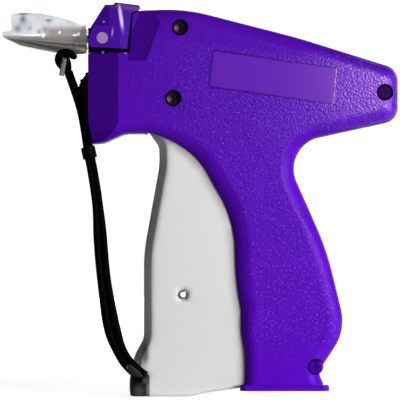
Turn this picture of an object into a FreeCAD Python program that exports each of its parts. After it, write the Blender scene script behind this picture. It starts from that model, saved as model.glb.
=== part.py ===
"""Garment tag attacher: a pistol-grip tool that drives T-end fasteners through a slotted needle.

Row frame, millimetres: +Z up, the needle points to -X, the casing's parting plane is y = 0.
The origin is the middle of the handle foot's underside. The barrel line is tilted nose-up,
and places along it are given as (d, t): d behind the nozzle face, t above the needle's axis.
"""

import FreeCAD
import Part

import math
import os

Vector = FreeCAD.Vector
Y_AXIS = Vector(0, 1, 0)

# ---- casing ----
casing_half_width = 12.0
casing_wall = 2.4
casing_edge_radius = 5.5
grip_edge_radius = 8.5
nose_front_x = -71.2
nose_half_width = 7.0
nose_taper_x = -58.7
shoulder_z = 122.4
tail_x = 41.0
tail_top_z = 116.2
tail_bottom_z = 97.6
foot_front_x = -15.4
foot_rear_x = 15.2
foot_flange_height = 2.2
foot_flange_step = 0.8
foot_floor = 2.4
foot_floor_front_x = -7.0
label_depth = 0.3
scoop_depth = 3.4
scoop_angle = 21.8

# ---- barrel line ----
barrel_tilt = 8.4
nozzle_x = -70.9
nozzle_z = 127.4
stroke = 42.0
pin_rest_d = 89.2

# ---- trigger and rocker ----
trigger_pivot_x = -36.0
trigger_pivot_z = 94.0
trigger_angle = 12.0
trigger_half_width = 9.0
trigger_wall = 1.8
trigger_front_chamfer = 2.8
rocker_reach = 52.0
rocker_arm_half_width = 3.0
rocker_neck_drop = 5.0
rocker_tip_rise = 5.6
roll_pin_x = -36.7
roll_pin_z = 34.6
roll_pin_radius = 1.5
roll_pin_wall = 0.5
roll_pin_recess_depth = 0.4
pivot_pin_radius = 1.5
drive_pin_radius = 1.5
slide_pin_radius = 1.5

# ---- clearances ----
running_gap = 0.05
pressed_gap = 0.02
moving_gap = 0.35
fork_gap = 0.6
rocker_slot_half_width = 3.6

# ---- slide ----
slide_half_length = 10.0
slide_half_width = 6.0
slide_half_height = 3.4
tongue_half_height = 1.5
rail_thickness = 1.6
ejector_radius = 0.6

# ---- head ----
core_half_width = 5.0
lever_gap = 0.3
lever_half_width = 8.8
lever_pivot_x = -65.9
lever_pivot_z = 127.4
lever_pin_radius = 2.0
needle_radius = 1.3
needle_bore_radius = 0.85
needle_reach = 25.0
needle_base_length = 13.0
needle_base_half_width = 2.9
needle_base_half_height = 3.6
knife_gap = 0.1
knife_thickness = 0.6
channel_setback = 0.9
channel_length = 10.4
channel_half_width = 1.4
guide_setback = 4.5
guide_thickness = 0.5
lever_stud_inner_y = 3.4
lever_front_slope = 18.0
lever_rear_slope = 9.0

# ---- feed wheel and knob ----
feed_tip_radius = 5.4
feed_tooth_reach = 0.9467
feed_drop = 19.4261
feed_teeth = 18
feed_wheel_half_width = 1.3
feed_shaft_radius = 1.5
knob_radius = 12.8
knob_thickness = 6.5
knob_ribs = 24
ratchet_inner_y = 3.2
ratchet_outer_y = 5.0

# ---- fasteners ----
screw_radius = 1.5
screw_head_radius = 2.75
screw_head_height = 1.9
screw_length = 15.0
counterbore_radius = 3.05
counterbore_depth = 4.2
boss_radius = 4.4
pilot_boss_radius = 3.4
screw_places = [(-37.8, 131.0), (-40.3, 105.5), (36.0, 107.6), (11.2, 8.6)]

# ---- needle cap ----
cap_half_width = 4.7
cap_wall = 1.1
cap_travel = 30.0

# ---- return spring ----
spring_radius = 3.2
spring_wire_radius = 0.4
spring_hook_drop = 16.0
spring_post_radius = 1.6

# ---- tether ----
tether_radius = 2.0
tether_gap = 0.3
knot_radius = 1.7
anchor_radius = 2.4
keeper_wall = 0.6
keeper_length = 4.0
eye_radius = 1.6

cos_tilt = math.cos(math.radians(barrel_tilt))
sin_tilt = math.sin(math.radians(barrel_tilt))
inner_half_width = casing_half_width - casing_wall
window_half_width = trigger_half_width + moving_gap
knife_front_d = needle_base_length + knife_gap
knife_rear_d = knife_front_d + knife_thickness
channel_front_d = knife_rear_d + channel_setback
channel_rear_d = channel_front_d + channel_length
guide_d = channel_front_d + guide_setback


def at(x, z, y=0.0):
    """A point from its place in the side view."""
    return Vector(x, y, z)


def barrel(d, t=0.0):
    """Side-view place of a point d behind the nozzle face and t above the needle's axis."""
    return (
        nozzle_x + d * cos_tilt + t * sin_tilt,
        nozzle_z - d * sin_tilt + t * cos_tilt,
    )


# the feed wheel's teeth reach into the clip channel from below and in front
feed_x, feed_z = barrel(channel_front_d - feed_tip_radius + feed_tooth_reach, -feed_drop)


def turned(place, centre, angle):
    """A side-view place turned about a centre, anticlockwise with the needle to the left."""
    a = math.radians(angle)
    dx = place[0] - centre[0]
    dz = place[1] - centre[1]
    return (
        centre[0] + dx * math.cos(a) - dz * math.sin(a),
        centre[1] + dx * math.sin(a) + dz * math.cos(a),
    )


def lines(*places):
    """Straight edges through side-view places."""
    points = [at(*p) for p in places]
    return [Part.makeLine(a, b) for a, b in zip(points, points[1:])]


def arc(start, middle, end):
    """A circular edge through three side-view places."""
    return Part.Arc(at(*start), at(*middle), at(*end)).toShape()


def curve(*places):
    """A smooth edge through side-view places."""
    spline = Part.BSplineCurve()
    spline.interpolate([at(*p) for p in places])
    return spline.toShape()


def rounded(*corners):
    """A closed outline from corners given as (x, z, radius); radius 0 leaves a corner sharp."""
    edges = []
    starts, ends = [], []
    for k, (x, z, radius) in enumerate(corners):
        before = Vector(corners[k - 1][0] - x, 0, corners[k - 1][1] - z).normalize()
        following = corners[(k + 1) % len(corners)]
        after = Vector(following[0] - x, 0, following[1] - z).normalize()
        corner = at(x, z)
        if radius == 0:
            starts.append(corner)
            ends.append(corner)
            continue
        half_angle = before.getAngle(after) / 2.0
        run = radius / math.tan(half_angle)
        bisector = (before + after).normalize()
        middle = corner + bisector * (radius / math.sin(half_angle) - radius)
        starts.append(corner + before * run)
        ends.append(corner + after * run)
        edges.append(Part.Arc(starts[-1], middle, ends[-1]).toShape())
    for k in range(len(corners)):
        edges.append(Part.makeLine(ends[k - 1], starts[k]))
    return edges


def closed_wire(edges):
    return Part.Wire(Part.__sortEdges__(edges))


def prism(edges, y_low, y_high):
    """A side-view outline made solid from y_low to y_high."""
    face = Part.Face(closed_wire(edges))
    face.translate(Vector(0, y_low, 0))
    return face.extrude(Vector(0, y_high - y_low, 0))


def plate(places, y_low, y_high):
    """A straight-sided outline made solid."""
    return prism(lines(*places, places[0]), y_low, y_high)


def barrel_block(d_low, d_high, t_low, t_high, y_low, y_high):
    """A block that lies along the barrel line."""
    corners = [(d_low, t_low), (d_high, t_low), (d_high, t_high), (d_low, t_high)]
    return plate([barrel(d, t) for d, t in corners], y_low, y_high)


def cross_rod(x, z, radius, y_low, y_high):
    """A round bar across the tool."""
    return Part.makeCylinder(radius, y_high - y_low, at(x, z, y_low), Y_AXIS)


def barrel_rod(radius, d_front, d_rear, t=0.0, y=0.0):
    """A round bar along the barrel line."""
    front = barrel(d_front, t)
    return Part.makeCylinder(
        radius, d_rear - d_front, at(*front, y), Vector(cos_tilt, 0, -sin_tilt)
    )


def capsule(start, end, radius, y_low, y_high):
    """A bar with round ends between two side-view places."""
    length = math.dist(start, end)
    ux = (end[0] - start[0]) / length * radius
    uz = (end[1] - start[1]) / length * radius
    left_start = (start[0] - uz, start[1] + ux)
    right_start = (start[0] + uz, start[1] - ux)
    left_end = (end[0] - uz, end[1] + ux)
    right_end = (end[0] + uz, end[1] - ux)
    edges = [
        arc(right_start, (start[0] - ux, start[1] - uz), left_start),
        *lines(left_start, left_end),
        arc(left_end, (end[0] + ux, end[1] + uz), right_end),
        *lines(right_end, right_start),
    ]
    return prism(edges, y_low, y_high)


def both_sides(maker):
    """The same piece made on the near side and mirrored to the far side."""
    near = maker()
    return [near, near.mirror(Vector(0, 0, 0), Y_AXIS)]


def edges_where(shape, test):
    return [e for e in shape.Edges if test(e)]


def rolled_edges(shape, edge_test, radius_at):
    """Rounds the edges that pass the test; radius_at gives the radius at each end of an edge."""
    document = FreeCAD.newDocument()
    base = document.addObject("Part::Feature")
    base.Shape = shape
    rounding = document.addObject("Part::Fillet")
    rounding.Base = base
    rounding.Edges = [
        (k, radius_at(e.Vertexes[0].Point), radius_at(e.Vertexes[-1].Point))
        for k, e in enumerate(shape.Edges, 1)
        if edge_test(e)
    ]
    document.recompute()
    rounded_shape = rounding.Shape.copy()
    FreeCAD.closeDocument(document.Name)
    return rounded_shape


# ---- outlines shared by the pieces ----

def casing_outline():
    """Side outline of the closed casing, from the nose over the tail and down the handle."""
    return rounded(
        (-69.3, 89.0, 0),
        (-71.0, 97.6, 0),
        (nose_front_x, 131.2, 0),
        (-63.4, 137.0, 0),
        (-36.0, 138.0, 60.0),
        (5.0, 127.5, 200.0),
        (tail_x, tail_top_z, casing_edge_radius + 0.3),
        (tail_x, tail_bottom_z, casing_edge_radius + 0.3),
        (-1.3, 88.4, 11.6),
        (15.2, 51.2, 100.0),
        (22.4, 22.0, 18.0),
        (12.3, 6.6, 3.0),
        (foot_rear_x, 0.0, 0),
        (foot_front_x, 0.0, 0),
        (-14.8, 12.0, 60.0),
        (-19.9, 38.0, 100.0),
        (-20.7, 60.6, 38.0),
        (-36.1, 88.1, 30.0),
        (-50.0, 92.7, 12.0),
        (-57.6, 92.7, 8.0),
        (-65.4, 89.2, 8.0),
    )


def casing_cavity():
    """Everything hollow between the two shells: barrel, handle, and the trigger's window."""
    wall = casing_wall
    barrel_room = rounded(
        (-51.8, 92.7 + wall, 0),
        (-47.4, 92.7 + wall, 0),
        (-37.9, 89.1, 0),
        (-1.3 - wall, 89.1, 0),
        (-1.3, 88.4 + wall, 0),
        (tail_x - wall, tail_bottom_z + wall, 2.0),
        (tail_x - wall, tail_top_z - wall, 2.0),
        (5.0, 127.5 - wall, 200.0),
        (-36.0, 138.0 - wall, 40.0),
        (-44.2, 137.5 - wall, 0),
        (-50.0, 112.0, 0),
    )
    grip_room = rounded(
        (-49.4, 93.5, 0),
        (-58.0, 70.0, 0),
        (-34.0, -3.0, 0),
        (foot_floor_front_x, -3.0, 0),
        (foot_floor_front_x, foot_floor, 0),
        (foot_rear_x - wall, foot_floor, 0),
        (12.3 - wall, 6.6, 3.0),
        (22.4 - wall - 0.4, 22.4, 16.0),
        (15.2 - wall - 0.2, 51.2, 100.0),
        (-4.6, 90.1, 11.6 + wall),
        (20.0, 95.5, 0),
        (20.0, 103.0, 0),
        (-20.0, 103.0, 0),
        (-49.4, 99.0, 0),
    )
    room = prism(barrel_room, -inner_half_width, inner_half_width)
    grip = prism(grip_room, -window_half_width, window_half_width)
    return room.fuse(grip)


def solid_casing():
    """The closed casing before it is hollowed: rounded, with a tapered nose and a foot flange."""
    body = prism(casing_outline(), -casing_half_width, casing_half_width)

    def on_rim(edge):
        middle = edge.CenterOfMass
        in_side_plane = all(
            abs(abs(p.y) - casing_half_width) < 1e-4
            for p in (middle, *(v.Point for v in edge.Vertexes))
        )
        return in_side_plane and middle.x > -62.0 and middle.z > 0.1

    def rim_radius(place):
        on_grip_front = place.x < -15.0 and 30.0 < place.z < 80.0
        return grip_edge_radius if on_grip_front else casing_edge_radius

    body = rolled_edges(body, on_rim, rim_radius)
    taper = [
        at(nose_front_x - 1.0, 80.0, nose_half_width - 0.4),
        at(nose_front_x - 1.0, 80.0, casing_half_width + 1.0),
        at(nose_taper_x + 0.9, 80.0, casing_half_width + 1.0),
    ]
    cutter = Part.Face(Part.makePolygon([*taper, taper[0]])).extrude(Vector(0, 0, 70.0))
    body = body.cut([cutter, cutter.mirror(Vector(0, 0, 0), Y_AXIS)])
    flange_half_width = casing_half_width + foot_flange_step
    flange = Part.makeBox(
        foot_rear_x - foot_front_x + 2.0 * foot_flange_step,
        2.0 * flange_half_width,
        foot_flange_height,
        at(foot_front_x - foot_flange_step, 0.0, -flange_half_width),
    )
    corners = edges_where(
        flange, lambda e: abs(e.Vertexes[0].Point.z - e.Vertexes[-1].Point.z) > 1.0
    )
    flange = flange.makeFillet(2.6, corners)
    rim = edges_where(
        flange,
        lambda e: abs(e.CenterOfMass.z - foot_flange_height) < 1e-4,
    )
    flange = flange.makeChamfer(0.6, rim)
    return body.fuse(flange)


def head_reliefs():
    """What the head lets go of: the lever's seat, the needle base's pocket, the clip channel."""
    cuts = []
    seat = [
        (nose_front_x - 2.0, shoulder_z),
        (-56.0, shoulder_z - 0.6),
        (-54.8, 135.9),
        (-51.4, 137.6),
        (-51.4, 142.0),
        (nose_front_x - 2.0, 142.0),
    ]
    cuts += both_sides(lambda: plate(seat, -casing_half_width - 1.0, -core_half_width))
    roof_room = [(-76.0, 131.2), (-67.6, 131.2), (-63.5, 137.2), (-63.5, 145.0), (-76.0, 145.0)]
    cuts.append(plate(roof_room, -20.0, 20.0))
    lever_sweep = 5.9
    cuts += both_sides(
        lambda: cross_rod(
            lever_pivot_x, lever_pivot_z, lever_sweep, -casing_half_width - 1.0, -core_half_width
        )
    )
    cuts += both_sides(finger_scoop)
    cuts.append(
        barrel_block(
            -2.0,
            needle_base_length + pressed_gap,
            -needle_base_half_height - pressed_gap,
            20.0,
            -needle_base_half_width - pressed_gap,
            needle_base_half_width + pressed_gap,
        )
    )
    clip_runner_exit = barrel_block(
        channel_front_d, channel_front_d + 4.6, -50.0, 0.0, -channel_half_width, channel_half_width
    )
    clip_channel = barrel_block(
        channel_front_d, channel_rear_d, -9.0, 20.0, -channel_half_width, channel_half_width
    )
    cuts += [clip_runner_exit, clip_channel]
    cuts.append(barrel_rod(ejector_radius + 0.2, needle_base_length - 1.0, 40.0))
    cuts += both_sides(
        lambda: cross_rod(
            lever_pivot_x, lever_pivot_z, lever_pin_radius + pressed_gap, -12.0, -lever_stud_inner_y
        )
    )
    gap = pressed_gap
    cuts.append(
        barrel_block(
            knife_front_d - gap, knife_rear_d + gap, -5.4 - gap, 3.4 + gap,
            -needle_base_half_width, needle_base_half_width,
        )
    )
    cuts.append(
        barrel_block(
            guide_d - gap, guide_d + guide_thickness + gap, -30.0 - gap, -11.0 + gap,
            -channel_half_width, channel_half_width,
        )
    )
    leaf = detent_leaf(gap)
    cuts.append(leaf)
    wheel_room = feed_tip_radius + moving_gap
    cuts.append(
        cross_rod(feed_x, feed_z, wheel_room, -ratchet_outer_y - moving_gap, ratchet_inner_y)
    )
    cuts.append(
        cross_rod(
            feed_x, feed_z, feed_shaft_radius + running_gap, -ratchet_outer_y - 2.0, 14.0
        )
    )
    return cuts


def finger_scoop():
    """Hollow behind the lever: it slopes down from the side to a flat floor."""
    foot = at(-50.0, 119.0, 0.0)
    along = Vector(7.4, 0, 20.0).normalize()
    forward = along.cross(Y_AXIS)
    rise = math.tan(math.radians(scoop_angle))
    floor = -casing_half_width + scoop_depth
    overshoot = 1.0

    def place(distance, y):
        return foot + forward * distance + Vector(0, y, 0) - along * 6.0

    profile = [
        place(-overshoot / rise, -casing_half_width - overshoot),
        place(scoop_depth / rise, floor),
        place(20.0, floor),
        place(20.0, -casing_half_width - overshoot),
    ]
    hollow = Part.Face(Part.makePolygon([*profile, profile[0]])).extrude(along * 34.0)
    reach = [(-56.9, 119.0), (-44.0, 119.0), (-38.0, 139.0), (-56.2, 139.0)]
    return hollow.common(plate(reach, -casing_half_width - 2.0, 0.0))


def screw_reliefs():
    """Counterbores on the near side and pilot holes through both shells' bosses."""
    head_seat = -casing_half_width + counterbore_depth
    cuts = []
    for x, z in screw_places:
        cuts.append(cross_rod(x, z, counterbore_radius, -casing_half_width - 2.0, head_seat))
        cuts.append(
            cross_rod(
                x, z, screw_radius + pressed_gap, head_seat - 0.5, head_seat + screw_length + 0.4
            )
        )
    return cuts


def pin_reliefs():
    """Blind seats for the trigger's and the rocker's pivot pins, and the spring's post."""
    depth = inner_half_width + 1.5
    cuts = []
    for x, z in (trigger_pivot(), rocker_pivot()):
        cuts.append(cross_rod(x, z, pivot_pin_radius + pressed_gap, -depth, depth))
    return cuts


def label_reliefs():
    """The shallow smooth label panel on each side."""
    outline = [(-25.9, 122.8), (18.4, 116.3), (17.2, 103.3), (-27.4, 109.6)]
    depth = casing_half_width - label_depth
    return both_sides(lambda: plate(outline, -casing_half_width - 1.0, -depth))


def trigger_pivot():
    return (trigger_pivot_x, trigger_pivot_z)


def rocker_pivot():
    """Foot of the rocker: straight below the middle of the slide's stroke."""
    return barrel(pin_rest_d - stroke / 2.0, -rocker_reach)


def rocker_half_swing():
    return math.degrees(math.atan(stroke / 2.0 / rocker_reach))


def drive_pin_reach():
    """From the rocker's pivot to the drive pin at half squeeze, so both half swings match."""
    gap = math.dist(trigger_pivot(), rocker_pivot())
    squeeze = math.radians(trigger_angle / 2.0)
    swing = math.tan(math.radians(rocker_half_swing()))
    return gap * swing / (swing * math.cos(squeeze) - math.sin(squeeze)) - gap


def drive_pin_middle():
    """Where the trigger's drive pin is at half squeeze: in line with both pivots."""
    foot = rocker_pivot()
    gap = math.dist(trigger_pivot(), foot)
    reach = drive_pin_reach()
    return (
        foot[0] + (foot[0] - trigger_pivot_x) / gap * reach,
        foot[1] + (foot[1] - trigger_pivot_z) / gap * reach,
    )


def drive_pin_rest():
    return turned(drive_pin_middle(), trigger_pivot(), -trigger_angle / 2.0)


def shell_inside(side):
    """Ribs, bosses and rails that one shell carries inside. side is -1 near, +1 far."""

    def span(low, high):
        return (-high, -low) if side < 0 else (low, high)

    parts = []
    for x, z in screw_places:
        radius = boss_radius if side < 0 else pilot_boss_radius
        parts.append(cross_rod(x, z, radius, *span(0.0, inner_half_width + 0.5)))
    rail_low = tongue_half_height + moving_gap
    for t_low, t_high in (
        (rail_low, rail_low + rail_thickness),
        (-rail_low - rail_thickness, -rail_low),
    ):
        parts.append(
            barrel_block(
                36.0,
                101.0,
                t_low,
                t_high,
                *span(slide_half_width + moving_gap, inner_half_width + 0.5),
            )
        )
    if side > 0:
        parts.append(
            cross_rod(*spring_post(), spring_post_radius, -spring_radius, inner_half_width + 0.5)
        )
    return parts


def spring_post():
    return (31.5, 102.8)


def shell(side):
    """One half of the casing."""
    half = Part.makeBox(
        200.0, 40.0, 200.0, Vector(-120.0, -40.0 if side < 0 else 0.0, -20.0)
    )
    body = solid_casing().cut(casing_cavity())
    inside = Part.makeCompound(shell_inside(side))
    inside = inside.common(solid_casing())
    body = body.common(half).fuse(inside.Solids)
    body = body.cut(
        [*head_reliefs(), *screw_reliefs(), *pin_reliefs(), *label_reliefs()]
    )
    return body.removeSplitter()


def housing_screws():
    """Pan-head screws from the near side, with a cross recess in each head."""
    head_seat = -casing_half_width + counterbore_depth
    screws = []
    for x, z in screw_places:
        head = cross_rod(x, z, screw_head_radius, head_seat - screw_head_height, head_seat)
        head = head.makeFillet(
            0.7,
            edges_where(head, lambda e: abs(e.CenterOfMass.y - head_seat + screw_head_height) < 1e-3),
        )
        shank = cross_rod(x, z, screw_radius, head_seat, head_seat + screw_length)
        screw = head.fuse(shank)
        for long_x, long_z in ((3.0, 0.7), (0.7, 3.0)):
            recess = Part.makeBox(
                long_x,
                1.1,
                long_z,
                at(x - long_x / 2.0, z - long_z / 2.0, head_seat - screw_head_height - 0.1),
            )
            screw = screw.cut(recess)
        screws.append(screw)
    return Part.makeCompound(screws)


# ---- trigger ----

def trigger():
    """The squeeze lever: a channel moulding, closed in front, open behind and inside."""
    outline = rounded(
        (-48.9, 93.0, 0),
        (-45.4, 88.0, 5.0),
        (-45.2, 81.5, 30.0),
        (-50.9, 50.0, 60.0),
        (-50.9, 18.6, 8.0),
        (-54.4, 12.4, 8.0),
        (-55.7, -2.2, 0),
        (-34.0, -2.2, 8.0),
        (-29.0, -0.9, 8.0),
        (-13.2, 1.4, 2.5),
        (-13.6, 20.0, 100.0),
        (-17.0, 58.0, 60.0),
        (-24.5, 80.0, 20.0),
        (-27.5, 92.0, 6.0),
        (-33.0, 100.2, 5.0),
        (-42.0, 100.2, 5.0),
    )
    body = prism(outline, -trigger_half_width, trigger_half_width)

    def front_rim(edge):
        inside = edge.CenterOfMass.x < -45.0 and -0.5 < edge.CenterOfMass.z < 92.0
        return inside and abs(abs(edge.CenterOfMass.y) - trigger_half_width) < 1e-4

    body = body.makeChamfer(trigger_front_chamfer, edges_where(body, front_rim))
    hollow_half_width = trigger_half_width - trigger_wall
    hollow = rounded(
        (-42.4, 84.5, 0),
        (-42.9, 80.0, 20.0),
        (-48.5, 50.0, 60.0),
        (-48.5, 18.0, 6.0),
        (-50.0, 1.2, 0),
        (-34.0, 1.2, 0),
        (-29.0, 2.4, 0),
        (-8.0, 4.6, 0),
        (-8.0, 84.5, 0),
    )
    body = body.cut(prism(hollow, -hollow_half_width, hollow_half_width))
    pin_path = [
        turned(rocker_pivot(), trigger_pivot(), -trigger_angle * k / 2.0) for k in range(3)
    ]
    notch_radius = pivot_pin_radius + moving_gap
    for start, end in zip(pin_path, pin_path[1:]):
        body = body.cut(
            capsule(start, end, notch_radius, -trigger_half_width, trigger_half_width)
        )
    body = body.cut(
        cross_rod(
            *trigger_pivot(),
            pivot_pin_radius + running_gap,
            -trigger_half_width - 1.0,
            trigger_half_width + 1.0,
        )
    )
    body = body.cut(
        cross_rod(roll_pin_x, roll_pin_z, roll_pin_radius + pressed_gap, -15.0, 15.0)
    )
    recess_floor = -trigger_half_width + roll_pin_recess_depth
    body = body.cut(
        both_sides(
            lambda: cross_rod(roll_pin_x, roll_pin_z, roll_pin_radius + 0.6, -15.0, recess_floor)
        )
    )
    rocker_slot = [(-31.4, 80.0), (-20.0, 80.0), (-20.0, 104.0), (-31.4, 104.0)]
    body = body.cut(plate(rocker_slot, -rocker_slot_half_width, rocker_slot_half_width))
    rib_places = [(-48.6, 31.0), (-41.5, 31.0), (-41.5, 41.0), (-48.6, 41.0)]
    for y_low, y_high in ((-3.6, -2.1), (2.1, 3.6)):
        body = body.fuse(plate(rib_places, y_low, y_high))
    anchor_hole = cross_rod(*tether_anchor_place(), 1.2, -trigger_half_width - 1.0, -5.0)
    return body.cut(anchor_hole).removeSplitter()


def tether_anchor_place():
    return (-50.6, 5.4)


def roll_pin():
    """Slotted spring pin that holds the drive arm in the trigger."""
    outer = cross_rod(
        roll_pin_x, roll_pin_z, roll_pin_radius, -trigger_half_width, trigger_half_width
    )
    bore = cross_rod(
        roll_pin_x, roll_pin_z, roll_pin_radius - roll_pin_wall, -trigger_half_width,
        trigger_half_width,
    )
    slit = Part.makeBox(
        2.0,
        2.0 * trigger_half_width,
        0.4,
        at(roll_pin_x, roll_pin_z - 0.2, -trigger_half_width),
    )
    slit.rotate(at(roll_pin_x, roll_pin_z), Y_AXIS, -55.0)
    return outer.cut([bore, slit])


def drive_arm():
    """Steel arm in the trigger, from the roll pin back to the drive pin."""
    start = (roll_pin_x, roll_pin_z)
    end = drive_pin_rest()
    arm = capsule(start, end, 3.2, -2.0, 2.0)
    heel = capsule(start, (-44.6, 36.2), 3.0, -2.0, 2.0)
    arm = arm.fuse(heel)
    arm = arm.cut(cross_rod(*start, roll_pin_radius + pressed_gap, -3.0, 3.0))
    arm = arm.cut(cross_rod(*end, drive_pin_radius + pressed_gap, -3.0, 3.0))
    return arm.removeSplitter()


def drive_pin():
    return cross_rod(*drive_pin_rest(), drive_pin_radius, -5.0, 5.0)


def trigger_pivot_pin():
    depth = inner_half_width + 1.4
    return cross_rod(*trigger_pivot(), pivot_pin_radius, -depth, depth)


def rocker_pivot_pin():
    depth = inner_half_width + 1.4
    return cross_rod(*rocker_pivot(), pivot_pin_radius, -depth, depth)


# ---- rocker ----


def rocker():
    """The lever between trigger and slide, forked at both ends, shown at rest."""
    foot = rocker_pivot()
    rest_turn = -rocker_half_swing()
    neck = rocker_reach - rocker_neck_drop
    hook_along = rocker_reach - spring_hook_drop
    tip_along = rocker_reach + rocker_tip_rise

    def place(along, across):
        """Place on the rocker: along its upper arm, and across it towards the tail."""
        upright = (foot[0] + along * sin_tilt + across * cos_tilt,
                   foot[1] + along * cos_tilt - across * sin_tilt)
        return turned(upright, foot, rest_turn)

    half = rocker_arm_half_width
    arm = [
        curve(place(0.0, -4.6), place(10.0, -5.9), place(20.0, -6.6), place(hook_along - 2.0, -5.4),
              place(neck, -4.7)),
        *lines(place(neck, -4.7), place(tip_along, -4.7), place(tip_along, 4.7), place(neck, 4.7)),
        curve(place(neck, 4.7), place(hook_along, 2.4), place(20.0, 2.0 * half - 6.6),
              place(10.0, 1.2), place(0.0, 4.6)),
        *lines(place(0.0, 4.6), place(0.0, -4.6)),
    ]
    body = prism(arm, -2.5, 2.5)
    body = body.fuse(cross_rod(*foot, 5.0, -6.6, 6.6))
    pin_slot_half_width = slide_pin_radius + fork_gap
    slot_low, slot_high = neck + 2.6, tip_along + 2.4
    slot = [place(slot_low, -pin_slot_half_width), place(slot_high, -pin_slot_half_width),
            place(slot_high, pin_slot_half_width), place(slot_low, pin_slot_half_width)]
    body = body.cut(plate(slot, -3.0, 3.0))
    drive_far = (drive_pin_rest()[0] - foot[0], drive_pin_rest()[1] - foot[1])
    reach = math.hypot(*drive_far)
    tip = (foot[0] + drive_far[0] / reach * (reach + 0.3),
           foot[1] + drive_far[1] / reach * (reach + 0.3))
    for y_low, y_high in ((-4.8, -2.3), (2.3, 4.8)):
        body = body.fuse(capsule(foot, tip, 3.6, y_low, y_high))
    slot_start = (foot[0] + drive_far[0] / reach * (drive_pin_reach() - 0.5),
                  foot[1] + drive_far[1] / reach * (drive_pin_reach() - 0.5))
    body = body.cut(capsule(slot_start, tip, drive_pin_radius + 0.25, -6.0, 6.0))
    hook = rocker_hook_place()
    body = body.cut(cross_rod(*hook, spring_wire_radius + moving_gap, -3.0, 3.0))
    body = body.cut(cross_rod(*foot, pivot_pin_radius + running_gap, -8.0, 8.0))
    return body.removeSplitter()


# ---- slide ----


def ejector_slide():
    """Block that carries the ejector, with a well for the rocker and a tongue on each side."""
    front = pin_rest_d - slide_half_length
    rear = pin_rest_d + slide_half_length
    body = barrel_block(front, rear, -slide_half_height, slide_half_height,
                        -slide_half_width, slide_half_width)
    tongue_reach = inner_half_width - moving_gap
    body = body.fuse(barrel_block(front, rear, -tongue_half_height, tongue_half_height,
                                  -tongue_reach, tongue_reach))
    body = body.cut(barrel_block(front + 2.6, rear - 1.4, -10.0, 10.0, -3.1, 3.1))
    body = body.cut(barrel_rod(ejector_radius + pressed_gap, front - 1.0, front + 4.0))
    body = body.cut(cross_rod(*barrel(pin_rest_d), slide_pin_radius + pressed_gap, -20.0, 20.0))
    return body.removeSplitter()


def slide_pin():
    return cross_rod(*barrel(pin_rest_d), slide_pin_radius, -slide_half_width, slide_half_width)


def ejector_rod():
    """Steel wire that pushes the T-end through the needle."""
    return barrel_rod(ejector_radius, channel_rear_d + 0.5, pin_rest_d - slide_half_length + 2.6)


# ---- head ----


def needle():
    """Slotted tube with a slanted point."""
    tube = barrel_rod(needle_radius, -needle_reach, needle_base_length - 1.0)
    tube = tube.cut(barrel_rod(needle_bore_radius, -needle_reach - 1.0, needle_base_length))
    slot = barrel_block(-needle_reach - 1.0, needle_base_length, -0.35, 0.35, -3.0, 0.0)
    bevel = [barrel(-needle_reach - 1.0, -0.7), barrel(-needle_reach + 5.0, 2.0),
             barrel(-needle_reach - 1.0, 2.0)]
    return tube.cut([slot, plate(bevel, -3.0, 3.0)])


def needle_base():
    """Moulded foot of the needle, with the lever's latch notch in its top."""
    body = barrel_block(0.0, needle_base_length, -needle_base_half_height,
                        needle_base_half_height, -needle_base_half_width, needle_base_half_width)
    body = body.cut(barrel_block(5.0, 9.0, 2.2, 6.0, -4.0, 4.0))
    return body.cut(barrel_rod(needle_radius + pressed_gap, -1.0, needle_base_length + 1.0))


def cutter_blade():
    """Small steel knife behind the needle that parts the fastener from its runner."""
    blade = barrel_block(knife_front_d, knife_rear_d, -5.4, 3.4,
                         -needle_base_half_width + 0.2, needle_base_half_width - 0.2)
    return blade.cut(barrel_rod(needle_radius, needle_base_length - 1.0, needle_base_length + 2.0))


def lever_pivot_pins():
    """Two steel studs that the lock lever turns on, flush with its cheeks."""
    return Part.makeCompound(
        both_sides(
            lambda: cross_rod(lever_pivot_x, lever_pivot_z, lever_pin_radius,
                              -lever_half_width - 0.2, -lever_stud_inner_y)
        )
    )


def needle_lock_lever():
    """Glossy saddle over the head: two cheeks, a roof and a thumb tab at its rear."""
    outline = [
        *lines((-69.4, 124.1), (-56.9, 123.4), (-55.5, 136.3), (-52.1, 138.0),
               (-52.6, 139.2), (-61.2, 140.2), (-62.0, 139.4), (-64.9, 139.4), (-69.8, 132.0),
               (-70.9, 129.2), (-71.1, 126.0)),
        arc((-71.1, 126.0), (-70.7, 124.6), (-69.4, 124.1)),
    ]
    body = prism(outline, -lever_half_width, lever_half_width)
    roof_rim = edges_where(
        body,
        lambda e: abs(abs(e.CenterOfMass.y) - lever_half_width) < 1e-4
        and (e.CenterOfMass.z > 130.0 and e.CenterOfMass.x < -58.0),
    )
    body = body.makeChamfer(0.8, roof_rim)
    saddle = [(-75.0, 115.0), (-50.0, 115.0), (-50.0, 137.5), (-64.6, 137.5), (-64.6, 145.0),
              (-75.0, 145.0)]
    gap = core_half_width + lever_gap
    body = body.cut(plate(saddle, -gap, gap))
    body = body.cut(both_sides(lambda: lever_facet(-63.4, -10.0, lever_front_slope, 131.7)))
    body = body.cut(both_sides(lambda: lever_facet(-59.4, 10.0, lever_rear_slope, 120.0)))
    return body.cut(
        cross_rod(lever_pivot_x, lever_pivot_z, lever_pin_radius + running_gap, -12.0, 12.0)
    )


def lever_facet(x, reach, slope, z_low):
    """What comes off a cheek's side from x on, so that it falls away towards that end."""
    drop = abs(reach) * math.tan(math.radians(slope))
    corners = [
        at(x, z_low, -lever_half_width),
        at(x + reach, z_low, -lever_half_width + drop),
        at(x + reach, z_low, -lever_half_width - 1.0),
        at(x, z_low, -lever_half_width - 1.0),
    ]
    wedge = Part.Face(Part.makePolygon([*corners, corners[0]]))
    return wedge.extrude(Vector(0, 0, 145.0 - z_low))


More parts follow.
